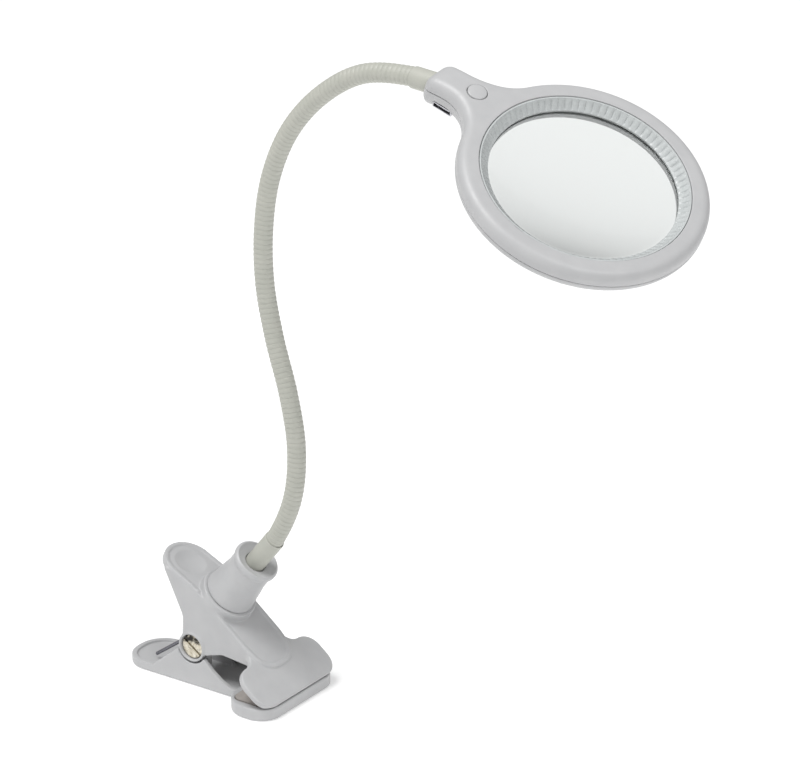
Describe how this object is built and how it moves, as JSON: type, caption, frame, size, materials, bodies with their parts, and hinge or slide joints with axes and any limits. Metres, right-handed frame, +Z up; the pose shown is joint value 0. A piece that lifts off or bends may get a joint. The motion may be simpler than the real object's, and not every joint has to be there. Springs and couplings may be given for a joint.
{
  "type": "clip-on magnifying lamp",
  "caption": "Clip-on magnifying lamp: spring clamp, flexible gooseneck neck and a lit ring-shaped head round a large clear lens, with a push button on its stem.",
  "frame": {"origin": "centre of the upper jaw's gripping face", "axes": "+Z up, +X from the clip's handles towards the jaw tips and the head, +Y to the lamp's left"},
  "size_m": [0.3184, 0.1146, 0.347],
  "materials": {
    "housing_plastic": "fine satin light grey",
    "neck_sleeve": "satin warm grey, ribbed",
    "soft_pad": "matt beige-grey",
    "nickel_brass": "nickel-plated, lightly worn",
    "spring_steel": "dark drawn wire",
    "zinc_steel": "zinc-plated",
    "light_guide": "translucent, ribbed",
    "lens_glass": "polished clear",
    "circuit_board": "green solder mask",
    "led_package": "yellow phosphor",
    "black_plastic": "moulded black",
    "lead_insulation": "extruded red"
  },
  "bodies": {
    "upper_jaw": {"upper_jaw": "housing_plastic", "upper_pad": "soft_pad", "pivot_screw": "nickel_brass", "pivot_barrel_nut": "nickel_brass", "clamp_spring": "spring_steel", "neck_socket": "housing_plastic", "neck_washer": "zinc_steel", "neck_nut": "zinc_steel", "base_ferrule": "neck_sleeve"},
    "lower_jaw": {"lower_jaw": "housing_plastic", "lower_pad": "soft_pad"},
    "neck_01": {"neck_link_01": "neck_sleeve"},
    "neck_02": {"neck_link_02": "neck_sleeve"},
    "neck_03": {"neck_link_03": "neck_sleeve"},
    "neck_04": {"neck_link_04": "neck_sleeve"},
    "neck_05": {"neck_link_05": "neck_sleeve"},
    "neck_06": {"neck_link_06": "neck_sleeve"},
    "neck_07": {"neck_link_07": "neck_sleeve"},
    "neck_08": {"neck_link_08": "neck_sleeve"},
    "neck_09": {"neck_link_09": "neck_sleeve"},
    "neck_10": {"neck_link_10": "neck_sleeve"},
    "neck_11": {"neck_link_11": "neck_sleeve"},
    "head": {"control_board": "circuit_board", "head_bottom_shell": "housing_plastic", "head_ferrule": "neck_sleeve", "head_screw_1": "zinc_steel", "head_screw_2": "zinc_steel", "head_screw_3": "zinc_steel", "head_screw_4": "zinc_steel", "head_top_shell": "housing_plastic", "led_01": "led_package", "led_02": "led_package", "led_03": "led_package", "led_04": "led_package", "led_05": "led_package", "led_06": "led_package", "led_07": "led_package", "led_08": "led_package", "led_09": "led_package", "led_10": "led_package", "led_11": "led_package", "led_12": "led_package", "led_board": "circuit_board", "led_lead_1": "lead_insulation", "led_lead_2": "lead_insulation", "lens": "lens_glass", "light_guide": "light_guide", "power_inlet": "zinc_steel", "tact_switch": "black_plastic"},
    "power_button": {"power_button": "housing_plastic"}
  },
  "joints": [
    {"name": "lower_jaw_hinge", "type": "hinge", "parent": "upper_jaw", "child": "lower_jaw", "pos_m": [-0.0452, 0, 0.0076], "axis": [0, 1, 0], "range_deg": [0, 32], "stiffness_Nm_per_rad": 0.8, "springref_deg": -20.05, "deforming": ["clamp_spring"]},
    {"name": "neck_lower_bend", "type": "hinge", "parent": "upper_jaw", "child": "neck_01", "pos_m": [-0.00304, 0, 0.07198], "axis": [0, 1, 0], "range_deg": [-18, 18]},
    {"name": "neck_lower_sway", "type": "hinge", "parent": "neck_01", "child": "neck_02", "pos_m": [0.00852, 0, 0.09737], "axis": [0.9954, 0, -0.0958], "range_deg": [-18, 18]},
    {"name": "neck_lower_bend_2", "type": "hinge", "parent": "neck_02", "child": "neck_03", "pos_m": [0.0112, 0, 0.12514], "axis": [0, 1, 0], "range_deg": [-18, 18]},
    {"name": "neck_lower_sway_2", "type": "hinge", "parent": "neck_03", "child": "neck_04", "pos_m": [0.0066, 0, 0.15266], "axis": [0.96, 0, 0.2798], "range_deg": [-18, 18]},
    {"name": "neck_lower_bend_3", "type": "hinge", "parent": "neck_04", "child": "neck_05", "pos_m": [-0.00121, 0, 0.17944], "axis": [0, 1, 0], "range_deg": [-18, 18]},
    {"name": "neck_lower_sway_3", "type": "hinge", "parent": "neck_05", "child": "neck_06", "pos_m": [-0.00666, 0, 0.2068], "axis": [0.9999, 0, 0.0131], "range_deg": [-18, 18]},
    {"name": "neck_upper_bend", "type": "hinge", "parent": "neck_06", "child": "neck_07", "pos_m": [-0.00702, 0, 0.2347], "axis": [0, 1, 0], "range_deg": [-18, 18]},
    {"name": "neck_upper_sway", "type": "hinge", "parent": "neck_07", "child": "neck_08", "pos_m": [-0.0023, 0, 0.2622], "axis": [0.91, 0, -0.4147], "range_deg": [-18, 18]},
    {"name": "neck_upper_bend_2", "type": "hinge", "parent": "neck_08", "child": "neck_09", "pos_m": [0.00927, 0, 0.28759], "axis": [0, 1, 0], "range_deg": [-18, 18]},
    {"name": "neck_upper_sway_2", "type": "hinge", "parent": "neck_09", "child": "neck_10", "pos_m": [0.02785, 0, 0.3084], "axis": [0.5225, 0, -0.8526], "range_deg": [-18, 18]},
    {"name": "neck_upper_bend_3", "type": "hinge", "parent": "neck_10", "child": "neck_11", "pos_m": [0.05164, 0, 0.32298], "axis": [0, 1, 0], "range_deg": [-18, 18]},
    {"name": "neck_upper_sway_3", "type": "hinge", "parent": "neck_11", "child": "head", "pos_m": [0.07929, 0, 0.32674], "axis": [0.1349, 0, -0.9909], "range_deg": [-18, 18]},
    {"name": "power_button_press", "type": "slide", "parent": "head", "child": "power_button", "axis": [-0.4503, 0.2555, -0.8555], "range_m": [0, 0.0008], "stiffness_N_per_m": 400}
  ],
  "couplings": [
    {"joint": "neck_lower_bend_2", "follows": "neck_lower_bend", "ratio": 1},
    {"joint": "neck_lower_sway_2", "follows": "neck_lower_sway", "ratio": 1},
    {"joint": "neck_lower_bend_3", "follows": "neck_lower_bend", "ratio": 1},
    {"joint": "neck_lower_sway_3", "follows": "neck_lower_sway", "ratio": 1},
    {"joint": "neck_upper_bend_2", "follows": "neck_upper_bend", "ratio": 1},
    {"joint": "neck_upper_sway_2", "follows": "neck_upper_sway", "ratio": 1},
    {"joint": "neck_upper_bend_3", "follows": "neck_upper_bend", "ratio": 1},
    {"joint": "neck_upper_sway_3", "follows": "neck_upper_sway", "ratio": 1}
  ]
}
